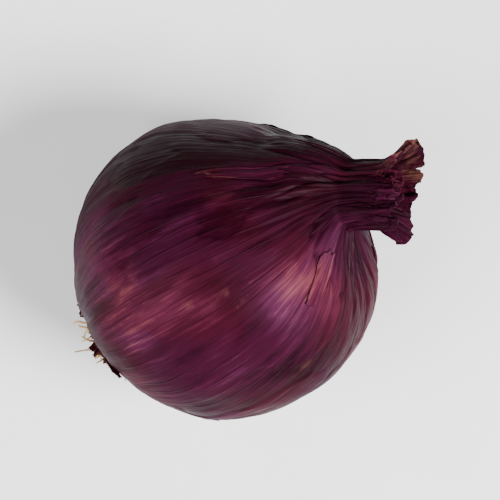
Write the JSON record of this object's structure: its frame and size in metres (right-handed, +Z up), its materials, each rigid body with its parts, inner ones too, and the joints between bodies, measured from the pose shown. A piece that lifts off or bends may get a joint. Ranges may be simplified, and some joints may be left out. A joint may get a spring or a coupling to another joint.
{
  "type": "pearl onion",
  "caption": "A small round red onion with glossy dark maroon skin, a short torn papery neck bent to one side, and a tuft of trimmed dry roots, lying on its side",
  "frame": {"origin": "centre of the small flat spot on which the onion rests, on the surface and under the bulb", "axes": "+Z up, out of the surface; +X along the surface, the way the neck points as the onion lies; +Y along the surface, away from the side to which the neck bends"},
  "size_m": [0.0432, 0.0329, 0.032],
  "materials": {
    "onion_skin": "gloss",
    "dried_root": "matte"
  },
  "bodies": {
    "root": {"bulb": "onion_skin", "root_plate": "dried_root"}
  },
  "joints": []
}
